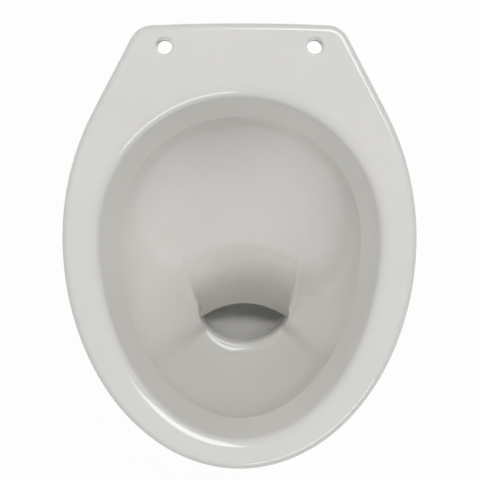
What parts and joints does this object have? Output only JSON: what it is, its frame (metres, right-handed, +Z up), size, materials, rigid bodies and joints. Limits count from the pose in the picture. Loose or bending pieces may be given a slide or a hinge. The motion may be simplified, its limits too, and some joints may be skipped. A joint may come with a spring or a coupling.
{
  "type": "toilet bowl",
  "caption": "Floor-standing washdown toilet pan with box rim, bare seat deck, P-trap, horizontal outlet and rear flush inlet.",
  "frame": {"origin": "on the floor under the middle of the pan's length, in its middle plane", "axes": "+Z up, front tip towards -Y, outlet and inlet towards +Y, +X to the right of someone looking from the front tip to the deck"},
  "size_m": [0.366, 0.46, 0.4],
  "materials": {
    "white_glaze": "glossy pale warm-grey glaze",
    "bare_china": "unglazed vitreous china, matt",
    "seal_rubber": "moulded black rubber",
    "bush_nylon": "moulded natural nylon"
  },
  "bodies": {
    "root": {"rim_deck": "white_glaze", "rim_skirt": "white_glaze", "rim_lip": "white_glaze", "channel_wall": "bare_china", "seat_hole_pads": "bare_china", "wash_ring": "white_glaze", "bowl_shell": "white_glaze", "sump_cup": "white_glaze", "trap_riser": "bare_china", "trap_crown": "white_glaze", "outlet_spigot": "white_glaze", "flush_box": "white_glaze", "flush_splitter": "bare_china", "inlet_horn": "white_glaze", "inlet_seal": "seal_rubber", "pedestal_collar": "white_glaze", "pedestal_shell": "white_glaze", "foot_plinth": "white_glaze", "support_webs": "bare_china", "floor_bushes": "bush_nylon"}
  },
  "joints": []
}
